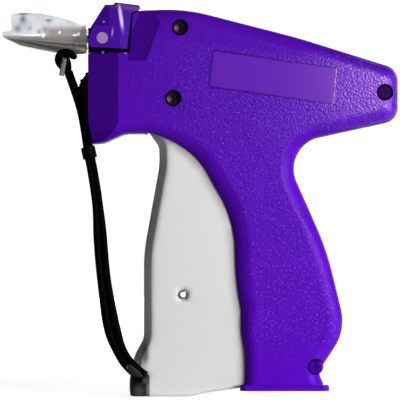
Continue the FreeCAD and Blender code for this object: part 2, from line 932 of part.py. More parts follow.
def needle_cap():
    """Clear sheath over the needle, pushed on from the front."""
    mouth_low = (-71.7, 121.9)
    mouth_high = (-71.7, 132.1)
    top_front = (-98.2, 136.3)
    outline = [
        curve(mouth_high, (-79.6, 134.6), (-87.0, 136.2), (-93.0, 136.7), top_front),
        *lines(top_front, (-99.2, 135.3), (-98.9, 132.0), (-99.5, 130.2), (-102.2, 130.0),
               (-102.4, 128.4), (-101.4, 127.5), (-95.8, 124.9)),
        curve((-95.8, 124.9), (-91.1, 123.9), (-83.2, 122.4), (-75.6, 121.5), mouth_low),
        *lines(mouth_low, mouth_high),
    ]
    body = prism(outline, -cap_half_width, cap_half_width)
    wall = cap_wall
    room = [
        curve((-70.0, mouth_high[1] - wall - 0.4), (-79.6, 134.6 - wall), (-87.0, 136.2 - wall),
              (-93.0, 136.7 - wall), (-97.4, 136.3 - wall)),
        *lines((-97.4, 136.3 - wall), (-97.8, 131.0), (-98.4, 129.0), (-95.6, 124.9 + wall)),
        curve((-95.6, 124.9 + wall), (-91.1, 123.9 + wall), (-83.2, 122.4 + wall),
              (-75.6, 121.5 + wall), (-70.0, 121.9 + wall)),
        *lines((-70.0, 121.9 + wall), (-70.0, mouth_high[1] - wall - 0.4)),
    ]
    inner = cap_half_width - wall
    body = body.cut(prism(room, -inner, inner))
    collar = barrel_block(-4.6, -3.2, -8.0, 6.5, -inner - 0.2, inner + 0.2)
    collar = collar.common(prism(outline, -cap_half_width, cap_half_width))
    collar = collar.cut(barrel_rod(needle_radius + running_gap, -12.0, -2.0))
    body = body.fuse(collar)
    for t in (-3.4, -5.0):
        body = body.cut(both_sides(
            lambda t=t: barrel_block(-27.0, -3.0, t - 0.35, t + 0.35, -cap_half_width - 1.0,
                                     -cap_half_width + 0.35)))
    eye = cap_eye()
    ear = cross_rod(*eye, eye_radius, -1.3, 1.3)
    ear = ear.cut(prism(room, -inner, inner))
    body = body.fuse(ear)
    return body.cut(cross_rod(*eye, 0.9 + running_gap, -3.0, 3.0)).removeSplitter()


def cap_eye():
    return (-79.2, 121.1)


# ---- feed ----


def toothed_disc(tip_radius, root_radius, teeth, lean, y_low, y_high):
    """A disc with pointed teeth whose tips lean by a share of the pitch."""
    places = []
    for k in range(teeth):
        for turn, radius in ((0.0, root_radius), (0.5 + lean, tip_radius)):
            a = 2.0 * math.pi * (k + turn) / teeth
            places.append((feed_x + radius * math.cos(a), feed_z + radius * math.sin(a)))
    return plate(places, y_low, y_high)


def feed_bore():
    return cross_rod(feed_x, feed_z, feed_shaft_radius + pressed_gap, -20.0, 20.0)


def feed_wheel():
    """Toothed wheel that pulls the fastener clip down past the needle."""
    disc = toothed_disc(feed_tip_radius, feed_tip_radius - 1.2, feed_teeth, 0.0,
                        -feed_wheel_half_width, feed_wheel_half_width)
    return disc.cut(feed_bore())


def ratchet_wheel():
    """Saw-toothed wheel on the same shaft, which the pawl turns."""
    disc = toothed_disc(feed_tip_radius - 0.4, feed_tip_radius - 1.3, feed_teeth, 0.4,
                        -ratchet_outer_y, -ratchet_inner_y)
    return disc.cut(feed_bore())


def feed_shaft():
    return cross_rod(feed_x, feed_z, feed_shaft_radius, -ratchet_outer_y - 1.6, 17.0)


def feed_knob():
    """Ribbed thumb knob on the far side of the head."""
    face = casing_half_width + 0.4
    body = cross_rod(feed_x, feed_z, knob_radius - 0.5, face, face + knob_thickness)
    body = body.makeFillet(
        1.2, edges_where(body, lambda e: abs(e.CenterOfMass.y - face - knob_thickness) < 1e-3))
    rib_circle = knob_radius - 0.7
    ribs = []
    for k in range(knob_ribs):
        a = 2.0 * math.pi * k / knob_ribs
        ribs.append(cross_rod(feed_x + rib_circle * math.cos(a), feed_z + rib_circle * math.sin(a),
                              0.7, face + 0.4, face + knob_thickness - 1.6))
    body = body.fuse(ribs)
    body = body.cut(cross_rod(feed_x, feed_z, knob_radius - 4.0, face + knob_thickness - 1.2,
                              face + knob_thickness + 1.0))
    return body.cut(feed_bore()).removeSplitter()


def detent_leaf(gap):
    """The leaf's block, grown by a gap for its slot."""
    leaf_x = feed_x + feed_tip_radius - 0.05
    return Part.makeBox(
        0.35 + 2.0 * gap,
        ratchet_outer_y - ratchet_inner_y - 0.3 + 2.0 * gap,
        15.0 + 2.0 * gap,
        at(leaf_x - gap, feed_z - 10.5 - gap, -ratchet_outer_y + 0.15 - gap),
    )


def detent_spring():
    """Thin steel leaf that clicks on the ratchet wheel's teeth."""
    return detent_leaf(0.0)


def clip_guide():
    """Steel strip along the rear of the clip channel, which keeps the clip on the wheel."""
    half = channel_half_width - running_gap
    return barrel_block(guide_d, guide_d + guide_thickness, -30.0, -11.0, -half, half)


# ---- return spring ----


def rocker_hook_place():
    """Hole in the rocker's upper arm that the return spring hooks into."""
    foot = rocker_pivot()
    along, across = rocker_reach - spring_hook_drop, -1.0
    upright = (
        foot[0] + along * sin_tilt + across * cos_tilt,
        foot[1] + along * cos_tilt - across * sin_tilt,
    )
    return turned(upright, foot, -rocker_half_swing())


def return_spring():
    """Extension spring from the rocker's arm to the tail post, as a tube of its outer size."""
    hook = rocker_hook_place()
    post = spring_post()
    length = math.dist(hook, post)
    direction = Vector(post[0] - hook[0], 0, post[1] - hook[1]).normalize()
    wire_y = Vector(0, 2.5 + spring_wire_radius + running_gap, 0)
    coil_front, coil_rear = 11.5, length - 3.2
    coil_length = coil_rear - coil_front
    coil = Part.makeCylinder(spring_radius, coil_length, at(*hook) + direction * coil_front, direction)
    coil = coil.cut(
        Part.makeCylinder(spring_radius - 0.8, coil_length, at(*hook) + direction * coil_front,
                          direction))
    ring_low = wire_y.y - spring_wire_radius
    ring = cross_rod(*post, spring_post_radius + 0.9, ring_low, ring_low + 2 * spring_wire_radius)
    ring = ring.cut(cross_rod(*post, spring_post_radius + pressed_gap, -10.0, 10.0))
    peg = cross_rod(*hook, spring_wire_radius, -2.0, wire_y.y)
    front_end = peg.fuse(
        Part.makeCylinder(spring_wire_radius, coil_front, at(*hook) + wire_y, direction))
    rear_wire = Part.makeCylinder(
        spring_wire_radius, length - spring_post_radius - 0.3 - coil_rear,
        at(*hook) + wire_y + direction * coil_rear, direction)
    return Part.makeCompound([coil, front_end, rear_wire.fuse(ring)])


# ---- tether ----

keeper_point = (-70.9, -3.9, 86.0)
tether_upper_route = [
    (-79.2, 0.0, 115.6),
    (-77.3, -0.7, 109.0),
    (-74.9, -1.5, 101.2),
    (-72.6, -2.9, 93.2),
    keeper_point,
]
tether_lower_route = [
    keeper_point,
    (-69.2, -4.9, 78.8),
    (-67.5, -7.0, 66.0),
    (-66.5, -8.6, 54.5),
    (-65.5, -9.8, 43.0),
    (-63.9, -10.7, 31.5),
    (-61.4, -11.3, 21.0),
    (-58.0, -11.6, 12.6),
    (-53.6, -11.6, 7.2),
]


def soft_tube(route, radius):
    """A round tube along straight runs joined by tangent arcs."""
    points = [Vector(*p) for p in route]
    edges = []
    start = points[0]
    for before, corner, after in zip(points, points[1:], points[2:]):
        back = before - corner
        ahead = after - corner
        shorter = min(back.Length, ahead.Length)
        run = 0.45 * shorter
        half_turn = (math.pi - back.getAngle(ahead)) / 2.0
        bend = run / math.tan(half_turn)
        back.normalize()
        ahead.normalize()
        arc_start = corner + back * run
        arc_end = corner + ahead * run
        inward = (back + ahead).normalize()
        middle = corner + inward * (bend / math.cos(half_turn) - bend)
        edges.append(Part.makeLine(start, arc_start))
        edges.append(Part.Arc(arc_start, middle, arc_end).toShape())
        start = arc_end
        print("bend radius", round(bend, 1))
    edges.append(Part.makeLine(start, points[-1]))
    path = Part.Wire(edges)
    direction = (points[1] - points[0]).normalize()
    ring = Part.Wire(Part.makeCircle(radius, points[0], direction))
    tube = path.makePipeShell([ring], True, False)
    print("tube", round(path.Length, 2), round(tube.Volume / (math.pi * radius ** 2), 2))
    return tube


def tether_knot():
    """The loop through the cap's eye and the knot under it."""
    eye_x, eye_z = cap_eye()
    loop = cross_rod(eye_x, eye_z, 0.9, -2.3, 2.3)
    top = tether_upper_route[0][2]
    ball_z = top + tether_gap + knot_radius
    for low in (-2.3, 1.4):
        cheek = [(eye_x - 0.9, ball_z), (eye_x + 0.9, ball_z), (eye_x + 0.9, eye_z),
                 (eye_x - 0.9, eye_z)]
        loop = loop.fuse(plate(cheek, low, low + 0.9))
    ball = Part.makeSphere(knot_radius, at(eye_x, ball_z))
    return loop.fuse(ball).removeSplitter()


def cord_keeper():
    """Small clip on the nose that the tether passes through: a ring on a flat stem."""
    x, y, z = keeper_point
    direction = (Vector(*tether_lower_route[1]) - Vector(*tether_upper_route[-2])).normalize()
    centre = Vector(*keeper_point)
    foot = centre - direction * (keeper_length / 2.0)
    ring = Part.makeCylinder(tether_radius + keeper_wall, keeper_length, foot, direction)
    stem_x = nose_front_x - 0.7
    stem = Part.makeBox(0.75, 2.6, 16.0, Vector(stem_x, -1.0, 85.0))
    lug = Part.makeBox(0.75, 2.6, 3.2, Vector(stem_x, -2.4, 84.4))
    hole = Part.makeCylinder(tether_radius + running_gap, 14.0, centre - direction * 7.0, direction)
    return ring.fuse([stem, lug]).cut(hole).removeSplitter()


def tether_anchor():
    """Round stud pressed into the trigger's lower corner, which ends the tether."""
    place = tether_anchor_place()
    near = -trigger_half_width
    shank = cross_rod(*place, 1.2 - pressed_gap, near, -5.4)
    head = cross_rod(*place, anchor_radius, near - 4.4, near)
    head = head.makeFillet(
        1.0, edges_where(head, lambda e: abs(e.CenterOfMass.y - near + 4.4) < 1e-3))
    return head.fuse(shank)


PIECES = {
    "left_shell": lambda: shell(-1),
    "right_shell": lambda: shell(1),
    "housing_screws": housing_screws,
    "trigger_pivot_pin": trigger_pivot_pin,
    "rocker_pivot_pin": rocker_pivot_pin,
    "return_spring": return_spring,
    "needle": needle,
    "needle_base": needle_base,
    "cutter_blade": cutter_blade,
    "clip_guide": clip_guide,
    "detent_spring": detent_spring,
    "lever_pivot_pins": lever_pivot_pins,
    "cord_keeper": cord_keeper,
    "tether_upper": lambda: soft_tube(tether_upper_route, tether_radius),
    "tether_lower": lambda: soft_tube(tether_lower_route, tether_radius),
    "needle_lock_lever": needle_lock_lever,
    "needle_cap": needle_cap,
    "tether_knot": tether_knot,
    "trigger": trigger,
    "roll_pin": roll_pin,
    "drive_arm": drive_arm,
    "drive_pin": drive_pin,
    "tether_anchor": tether_anchor,
    "rocker": rocker,
    "ejector_slide": ejector_slide,
    "slide_pin": slide_pin,
    "ejector_rod": ejector_rod,
    "feed_wheel": feed_wheel,
    "ratchet_wheel": ratchet_wheel,
    "feed_shaft": feed_shaft,
    "feed_knob": feed_knob,
}


def main():
    os.makedirs("parts", exist_ok=True)
    for name, make in PIECES.items():
        shape = make()
        if not shape.isValid() or not shape.Solids:
            print("NOT VALID", name)
        shape.exportStep(os.path.join("parts", name + ".step"))
        print(name, len(shape.Solids), round(shape.Volume, 1))


main()
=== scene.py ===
import math

import bmesh
import bpy
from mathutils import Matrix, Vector


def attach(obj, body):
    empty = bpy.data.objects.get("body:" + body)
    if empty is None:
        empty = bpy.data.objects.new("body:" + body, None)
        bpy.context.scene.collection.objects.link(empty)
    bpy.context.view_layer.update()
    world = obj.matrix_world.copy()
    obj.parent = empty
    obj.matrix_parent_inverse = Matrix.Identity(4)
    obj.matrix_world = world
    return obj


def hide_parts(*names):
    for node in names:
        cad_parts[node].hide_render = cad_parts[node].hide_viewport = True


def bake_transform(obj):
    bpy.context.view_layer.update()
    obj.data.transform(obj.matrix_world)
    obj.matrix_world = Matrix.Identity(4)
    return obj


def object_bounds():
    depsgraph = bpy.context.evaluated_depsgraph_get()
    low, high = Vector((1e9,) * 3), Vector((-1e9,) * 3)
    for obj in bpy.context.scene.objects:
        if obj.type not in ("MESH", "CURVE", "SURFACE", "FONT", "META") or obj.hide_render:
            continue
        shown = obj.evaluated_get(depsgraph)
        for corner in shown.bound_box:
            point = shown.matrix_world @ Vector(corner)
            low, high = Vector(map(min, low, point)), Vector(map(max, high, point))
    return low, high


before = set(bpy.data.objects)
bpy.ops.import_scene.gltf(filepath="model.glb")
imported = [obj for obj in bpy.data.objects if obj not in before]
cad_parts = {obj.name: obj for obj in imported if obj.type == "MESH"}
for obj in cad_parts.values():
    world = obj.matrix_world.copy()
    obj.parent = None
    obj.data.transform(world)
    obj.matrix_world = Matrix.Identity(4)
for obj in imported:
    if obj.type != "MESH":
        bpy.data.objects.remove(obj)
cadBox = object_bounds()
scene = bpy.context.scene
scene.view_settings.view_transform = "Standard"
mm = 0.001


# camera: level, square to the side of the tool

camera = {
    "lens": 250.0,
    "sensor": 36.0,
    "at": (-30.6, -1012.0, 68.8),  # in mm
    "sees": 20.0,  # how far, in metres
}


def makeCamera(spec):
    data = bpy.data.cameras.new("camera")
    data.lens = spec["lens"]
    data.sensor_width = spec["sensor"]
    data.clip_end = spec["sees"]
    obj = bpy.data.objects.new("camera", data)
    scene.collection.objects.link(obj)
    obj.location = [n * mm for n in spec["at"]]
    obj.rotation_euler = (math.radians(90.0), 0.0, 0.0)  # looks level, along y
    scene.camera = obj


makeCamera(camera)
print("camera placed")


# mesh helpers, with places in millimetres


def meshObject(name, bm, smooth=True):
    mesh = bpy.data.meshes.new(name)
    bmesh.ops.recalc_face_normals(bm, faces=bm.faces)
    bm.to_mesh(mesh)
    bm.free()
    for face in mesh.polygons:
        face.use_smooth = smooth
    obj = bpy.data.objects.new(name, mesh)
    scene.collection.objects.link(obj)
    return obj


def splinePoints(points, name):
    curve = bpy.data.curves.new(name, "CURVE")
    curve.dimensions = "3D"
    spline = curve.splines.new("NURBS")
    spline.points.add(len(points) - 1)
    for slot, point in zip(spline.points, points):
        slot.co = (point[0] * mm, point[1] * mm, point[2] * mm, 1.0)
    spline.order_u = 3
    spline.use_endpoint_u = True
    spline.resolution_u = 12
    holder = bpy.data.objects.new(name + "Line", curve)
    scene.collection.objects.link(holder)
    bpy.context.view_layer.update()
    line = bpy.data.meshes.new_from_object(holder)
    found = [v.co.copy() for v in line.vertices]
    bpy.data.objects.remove(holder)
    bpy.data.meshes.remove(line)
    return found


def roundSection(halfWide, halfDeep, steps=14):
    turn = 2.0 * math.pi / steps
    return [(halfWide * math.cos(k * turn), halfDeep * math.sin(k * turn)) for k in range(steps)]


# how a section turns or swells along its path, where t goes from 0 to 1


def steady(t):
    return 0.0


def ease(t, start, end):
    t = min(max((t - start) / (end - start), 0.0), 1.0)
    return t * t * (3.0 - 2.0 * t)


def roundEnds(t):
    share, least = 0.22, 0.04  # the rounded share of each half, and the tip's size squared
    into = max(abs(2.0 * t - 1.0) - (1.0 - share), 0.0) / share
    return math.sqrt(max(1.0 - into * into, least))


# the section's second measure points along facing until roll turns it, and shift moves it
# sideways, for two strands on one path


def sweep(bm, path, section, roll=steady, shift=0.0, facing=(0.0, 1.0, 0.0), swell=None):
    rings = []
    last = len(path) - 1
    for index, point in enumerate(path):
        along = (path[min(index + 1, last)] - path[max(index - 1, 0)]).normalized()
        across = along.cross(Vector(facing)).normalized()
        outward = across.cross(along).normalized()
        t = index / last
        c, s = math.cos(roll(t)), math.sin(roll(t))
        size = swell(t) if swell else 1.0
        ring = []
        for a, b in section:
            a, b = (a + shift) * size, b * size
            place = point + (across * (a * c - b * s) + outward * (a * s + b * c)) * mm
            ring.append(bm.verts.new(place))
        rings.append(ring)
    count = len(section)
    for low, high in zip(rings, rings[1:]):
        for k in range(count):
            n = (k + 1) % count
            bm.faces.new((low[k], low[n], high[n], high[k]))
    bm.faces.new(rings[0])
    bm.faces.new(list(reversed(rings[-1])))


# tether: an elastic loop, its two strands side by side, from the cap by way of the clip
# on the nose to the trigger's lower corner; the slack lower run fans out below the clip

tether = {
    "upper": [
        (-78.6, 0.0, 115.6),
        (-76.2, -0.9, 109.0),
        (-73.5, -1.9, 101.2),
        (-71.95, -3.1, 93.2),
        (-70.9, -3.9, 86.0),
    ],
    "lower": [
        (-70.9, -3.9, 86.0),
        (-69.4, -4.9, 78.8),
        (-67.4, -7.0, 66.0),
        (-66.6, -8.6, 54.5),
        (-65.65, -9.8, 43.0),
        (-64.0, -10.7, 31.5),
        (-62.1, -11.3, 21.0),
        (-58.75, -11.6, 12.6),
        (-54.7, -11.9, 7.8),
        (-50.9, -11.1, 4.8),
    ],
    "width": 4.0,
    "strand": (1.04, 0.86),  # half its width and half its depth
    "apart": 0.96,  # from the loop's middle to a strand's
    "rollTop": math.radians(48.0),
    "rollMiddle": math.radians(30.0),
    "rollEnd": 0.45,  # the share of the lower run in which it turns flat
    # each swell is how much wider, and the shares of the lower run where it starts and ends
    "swells": [(0.03, 0.0, 0.02), (0.22, 0.17, 0.31), (0.25, 0.46, 0.64), (-0.26, 0.67, 0.8)],
}


def makeStrands(name, route, roll, swell=None):
    path = splinePoints(route, name)
    bm = bmesh.new()
    for side in (-1.0, 1.0):
        section = roundSection(*tether["strand"])
        sweep(bm, path, section, roll, side * tether["apart"], swell=swell)
    return meshObject(name, bm), path


def pathLength(path):
    return sum((b - a).length for a, b in zip(path, path[1:]))


def rollUpper(t):
    return tether["rollTop"] + (tether["rollMiddle"] - tether["rollTop"]) * ease(t, 0.0, 1.0)


def rollLower(t):
    return tether["rollMiddle"] * (1.0 - ease(t, 0.0, tether["rollEnd"]))


def swellLower(t):
    return 1.0 + sum(rise * ease(t, start, end) for rise, start, end in tether["swells"])


tetherUpper, upperPath = makeStrands("tetherUpper", tether["upper"], rollUpper)
tetherLower, lowerPath = makeStrands("tetherLower", tether["lower"], rollLower, swellLower)


# knot: two arches over the cap's rim, a plump body below it and the flat cut end

knot = {
    "arch": [
        (-75.8, 3.0, 120.6),
        (-76.8, 4.9, 121.5),
        (-78.7, 5.5, 122.4),
        (-80.8, 5.5, 122.1),
        (-82.0, 5.0, 120.7),
        (-82.0, 3.6, 118.8),
        (-80.7, 1.9, 117.3),
        (-79.3, 0.9, 115.9),
    ],
    "archSection": (1.35, 0.85),
    "body": [(-79.4, -0.2, 121.2), (-79.3, 0.0, 118.4), (-78.7, 0.0, 115.4)],
    "bodySection": (1.7, 1.6),
    "bodyEnds": 0.72,  # the share of its size that the body has at its upper end
    "tail": [(-79.9, -3.4, 120.2), (-80.3, -3.6, 117.4), (-80.9, -3.4, 113.9)],
    "tailSection": (0.95, 0.35, 10),
    "tailTwist": 0.35,
}


def swellBody(t):
    turn = 3.0 * t  # just under half a turn, so the body is plumpest halfway down
    return knot["bodyEnds"] + (1.0 - knot["bodyEnds"]) * math.sin(turn)


def rollTail(t):
    return knot["tailTwist"] * t


def makeKnot(spec):
    bm = bmesh.new()
    for side in (-1.0, 1.0):
        arch = splinePoints([(x, side * y, z) for x, y, z in spec["arch"]], "knotArch")
        sweep(bm, arch, roundSection(*spec["archSection"]), swell=roundEnds)
    body = splinePoints(spec["body"], "knotBody")
    sweep(bm, body, roundSection(*spec["bodySection"]), swell=swellBody)
    return meshObject("tetherKnot", bm)


def makeTail(spec):
    bm = bmesh.new()
    path = splinePoints(spec["tail"], "knotTail")
    sweep(bm, path, roundSection(*spec["tailSection"]), rollTail)
    return meshObject("tetherTail", bm)


# fold: the cord's end laid over its wrap round the foot of the trigger

fold = {
    "lap": [(-57.0, -12.5, 9.4), (-55.0, -12.6, 7.3), (-52.4, -12.1, 5.6), (-48.9, -10.0, 4.4)],
    "lapSection": (1.5, 0.55),
    "top": 5.2,
    "bottom": -2.0,
    "rear": -48.8,
    "front": -55.8,
    "half": 9.7,  # half the wrap's width across the foot
    "thick": 0.42,
    "steps": 16,
    "corner": (5.5, 4.6),  # how far a corner's rounding reaches back and across
    "cornerCut": (0.6, 0.8),
}


def makeFold(spec):
    bm = bmesh.new()
    lap = splinePoints(spec["lap"], "foldLap")
    sweep(bm, lap, roundSection(*spec["lapSection"]), swell=roundEnds)
    half, rear, front = spec["half"], spec["rear"], spec["front"]
    back, across = spec["corner"]
    cutX, cutY = spec["cornerCut"]
    leg = [(rear, half), (front + back, half), (front + cutX, half - cutY), (front, half - across)]
    plan = [(x, -y) for x, y in leg] + [(front, 0.0)] + list(reversed(leg))
    middle = (spec["top"] + spec["bottom"]) / 2.0
    wrap = splinePoints([(x, y, middle) for x, y in plan], "foldWrap")
    tall = (spec["top"] - spec["bottom"]) / 2.0
    section = roundSection(spec["thick"], tall, spec["steps"])
    sweep(bm, wrap, section, facing=(0.0, 0.0, 1.0))
    return meshObject("tetherFold", bm)


tetherKnot = makeKnot(knot)
tetherTail = makeTail(knot)
tetherFold = makeFold(fold)
print("tether made", round(pathLength(upperPath), 4), round(pathLength(lowerPath), 4))


# materials: colours are written as sRGB, and sizes and places in millimetres


def linear(code):
    channels = [int(code[k : k + 2], 16) / 255.0 for k in (0, 2, 4)]
    return [c / 12.92 if c <= 0.04045 else ((c + 0.055) / 1.055) ** 2.4 for c in channels]


def colour(code):
    return (*linear(code), 1.0)


def setInputs(node, inputs):
    for key, value in inputs.items():
        if isinstance(value, bpy.types.NodeSocket):
            node.id_data.links.new(value, node.inputs[key])
        else:
            node.inputs[key].default_value = value


# inputs go by name, or in the node's own order, and out is the output that is wanted


def addNode(tree, kind, inputs, out=0, **settings):
    node = tree.nodes.new("ShaderNode" + kind)
    for key, value in settings.items():
        setattr(node, key, value)
    setInputs(node, inputs if isinstance(inputs, dict) else dict(enumerate(inputs)))
    return node.outputs[out]


def newMaterial(name, base, roughness, inputs):
    material = bpy.data.materials.new(name)
    material.use_nodes = True
    shader = material.node_tree.nodes["Principled BSDF"]
    setInputs(shader, {"Base Color": colour(base), "Roughness": roughness, **inputs})
    return material, material.node_tree, shader


def objectPlace(tree):
    coords = addNode(tree, "TexCoord", (), "Object")
    apart = addNode(tree, "SeparateXYZ", (coords,)).node.outputs
    return coords, apart["X"], apart["Y"], apart["Z"]


# a pattern's inputs, from the real size of its cells

usualNoise = (0.3, 0.7)  # most of a noise's values lie between these


def pattern(coords, size, detail=3.0):
    return {"Vector": coords, "Scale": 1.0 / (size * mm), "Detail": detail}


# a mask is 1 where it holds and 0 elsewhere; a layer is a mask, and a colour to lay there


def joinMasks(tree, operation, masks):
    joined = masks[0]
    for mask in masks[1:]:
        joined = addNode(tree, "Math", (joined, mask), operation=operation)
    return joined


def layColours(tree, tone, layers):
    for mask, paint in layers:
        over = colour(paint) if isinstance(paint, str) else paint
        # 6, 7 and 2 are the colour sockets of this node
        tone = addNode(tree, "Mix", {0: mask, 6: tone, 7: over}, 2, data_type="RGBA")
    return tone


# smooth round or oval marks on the sides, by place and by half width and height


def ridge(tree, value, centre, width):
    off = addNode(tree, "Math", (value, centre * mm), operation="SUBTRACT")
    away = addNode(tree, "Math", (off, width * mm), operation="DIVIDE")
    square = addNode(tree, "Math", (away, away), operation="MULTIPLY")
    falling = addNode(tree, "Math", (square, -1.0), operation="MULTIPLY")
    return addNode(tree, "Math", (falling,), operation="EXPONENT")


def spot(tree, x, z, place, wide, tall):
    inX, inZ = ridge(tree, x, place[0], wide), ridge(tree, z, place[1], tall)
    return addNode(tree, "Math", (inX, inZ), operation="MULTIPLY")


def addSoftSpots(tree, x, z, tone, softSpots):
    solid = 1.4  # flattens the middle of a spot
    for place, wide, tall, code in softSpots:
        soft = spot(tree, x, z, place, wide, tall)
        spotMask = addNode(tree, "Math", (soft, solid), operation="MULTIPLY")
        spotMask = addNode(tree, "Math", (spotMask, 1.0), operation="MINIMUM")
        tone = layColours(tree, tone, [(spotMask, code)])
    return tone


# lines on the sides, from start to end: a point's place across or along one, and the place
# of the line itself or of its middle in that measure


def direction(start, end):
    length = math.dist(start, end)
    return (end[0] - start[0]) / length, (end[1] - start[1]) / length


def acrossLine(tree, coords, start, end):
    ux, uz = direction(start, end)
    inputs = (coords, (-uz, 0.0, ux))
    across = addNode(tree, "VectorMath", inputs, "Value", operation="DOT_PRODUCT")
    return across, ux * start[1] - uz * start[0]


def alongLine(tree, coords, start, end):
    ux, uz = direction(start, end)
    inputs = (coords, (ux, 0.0, uz))
    along = addNode(tree, "VectorMath", inputs, "Value", operation="DOT_PRODUCT")
    return along, ux * (start[0] + end[0]) / 2.0 + uz * (start[1] + end[1]) / 2.0


def edgeLine(tree, coords, start, end, width, past=0.0):
    across, line = acrossLine(tree, coords, start, end)
    along, middle = alongLine(tree, coords, start, end)
    reach = math.dist(start, end) / 2.0 + past
    off = addNode(tree, "Math", (along, middle * mm), operation="SUBTRACT")
    off = addNode(tree, "Math", (off,), operation="ABSOLUTE")
    beside = addNode(tree, "Math", (off, reach * mm), operation="LESS_THAN")
    soft = ridge(tree, across, line, width)
    return addNode(tree, "Math", (soft, beside), operation="MULTIPLY")


def insidePanel(tree, coords, corners):
    under = []
    for start, end in zip(corners, corners[1:] + corners[:1]):
        across, line = acrossLine(tree, coords, start, end)
        under.append(addNode(tree, "Math", (across, line * mm), operation="LESS_THAN"))
    return joinMasks(tree, "MULTIPLY", under)


# ABS, injection moulded: deep purple, its flat sides from a tool etched with a leather grain of
# 0.7 mm cells, its nose, label panels and rounded borders smooth and satin; the grip is a clearer
# violet and the grain over the panel calmer; painted shade darkens the lower nose, the lever's
# seat and the panel's edges, and painted highlights lie on the panel's rear edge, as pale specks
# on the grain and as dots below the lever

casing = {
    "base": "5c14ba",
    "deep": "4e0ca8",
    "mottle": 14.0,
    "grip": "6a0ede",
    "gripFrom": (112.0, 4.0),  # the heights where the grip's colour starts and is full
    "roughness": 0.35,
    "smoothRoughness": 0.3,
    "shine": 0.07,
    "smoothShine": 0.035,
    "shineTint": "f2baff",
    "tailShine": 0.3,
    "tailPlace": (36.0, 108.0),
    "tailReach": 24.0,
    # the grain: its cells, how far they wander, the pores in them, and the relief
    "cell": 0.66,
    "wander": 0.7,
    "wanderSize": 2.0,
    "pore": 0.42,
    "poreShare": 0.3,
    "depth": 0.2,
    "strength": 0.8,
    # the specks are painted glints: pale dots over the grain
    "speck": "8a5ee0",
    "speckSize": 0.8,
    "speckFrom": (0.58, 0.72),  # the noise at which a speck shows and is full
    "speckDepth": 0.6,
    # where the grain fades: half widths at the nose and tail, then places along and up
    "sides": (11.8, 11.97),
    "tailSides": (9.0, 9.6),
    "tail": (4.0, 28.0),
    "rear": (-62.0, -30.0),
    "noseGrain": 0.12,
    "foot": (9.0, 20.0),
    "calmGrain": 0.35,
    "calmOver": 3.0,
    "calmAhead": (2.0, 18.0),
    "panel": [(-25.9, 122.8), (18.4, 116.3), (17.2, 103.3), (-27.4, 109.6)],
    "panelSide": 11.0,  # further out than this is the panel's face
    "panelTone": "6424b6",
    "edgeWidth": 0.34,
    # the panel's edges: painted shade along three of them, a painted highlight along the rear one
    "edgeShade": "330680",
    "edgeHighlight": "b38ae0",
    # painted shade in the lever's seat, beside and under the lever
    "seat": "0e0220",
    "seatSide": (5.2, 6.4),
    "seatRear": -54.0,
    # painted highlights: pale dots along the edge below the lever
    "paintedGlints": [(-70.8, 121.9), (-65.8, 122.3), (-57.5, 121.8)],
    "glintSize": 0.3,
    "glintDepth": 0.9,
    "paintedGlint": "e4d6f4",
    # painted shade over the lower nose
    "noseShade": "3a0290",
    "noseShadeAt": ((-62.0, 90.6), 7.5, 3.6),
    "noseShadeDepth": 0.85,
}


def grainMask(tree, coords, x, z, side, panel, spec):
    (low, high), (tailLow, tailHigh) = spec["sides"], spec["tailSides"]
    start, end = (n * mm for n in spec["tail"])
    lower = addNode(tree, "MapRange", (x, start, end, low * mm, tailLow * mm))
    upper = addNode(tree, "MapRange", (x, start, end, high * mm, tailHigh * mm))
    flat = addNode(tree, "MapRange", (side, lower, upper, 0.0, 1.0))
    offPanel = addNode(tree, "Math", (1.0, panel), operation="SUBTRACT")
    start, end = (n * mm for n in spec["rear"])
    behindNose = addNode(tree, "MapRange", (x, start, end, spec["noseGrain"], 1.0))
    start, end = (n * mm for n in spec["foot"])
    aboveFoot = addNode(tree, "MapRange", (z, start, end, 0.0, 1.0))
    across, line = acrossLine(tree, coords, *spec["panel"][:2])
    top = (line + spec["calmOver"]) * mm
    overPanel = addNode(tree, "MapRange", (across, line * mm, top, 0.0, 1.0))
    start, end = (n * mm for n in spec["calmAhead"])
    ahead = addNode(tree, "MapRange", (x, start, end, 1.0, 0.0))
    calm = addNode(tree, "Math", (overPanel, ahead), operation="MULTIPLY")
    kept = addNode(tree, "MapRange", (calm, 0.0, 1.0, 1.0, spec["calmGrain"]))
    return joinMasks(tree, "MULTIPLY", [flat, offPanel, behindNose, aboveFoot, kept])


def leatherGrain(tree, coords, spec):
    bend = addNode(tree, "TexNoise", pattern(coords, spec["wanderSize"], 2.0), "Color")
    bend = addNode(tree, "VectorMath", (bend, (spec["wander"] * mm,) * 3), operation="MULTIPLY")
    moved = addNode(tree, "VectorMath", (coords, bend), operation="ADD")
    cells = addNode(tree, "TexVoronoi", pattern(moved, spec["cell"], 0.0), feature="SMOOTH_F1")
    domes = addNode(tree, "Math", (1.0, cells), operation="SUBTRACT")
    pores = addNode(tree, "TexNoise", pattern(coords, spec["pore"]))
    pores = addNode(tree, "Math", (pores, spec["poreShare"]), operation="MULTIPLY")
    return addNode(tree, "Math", (domes, pores), operation="ADD")


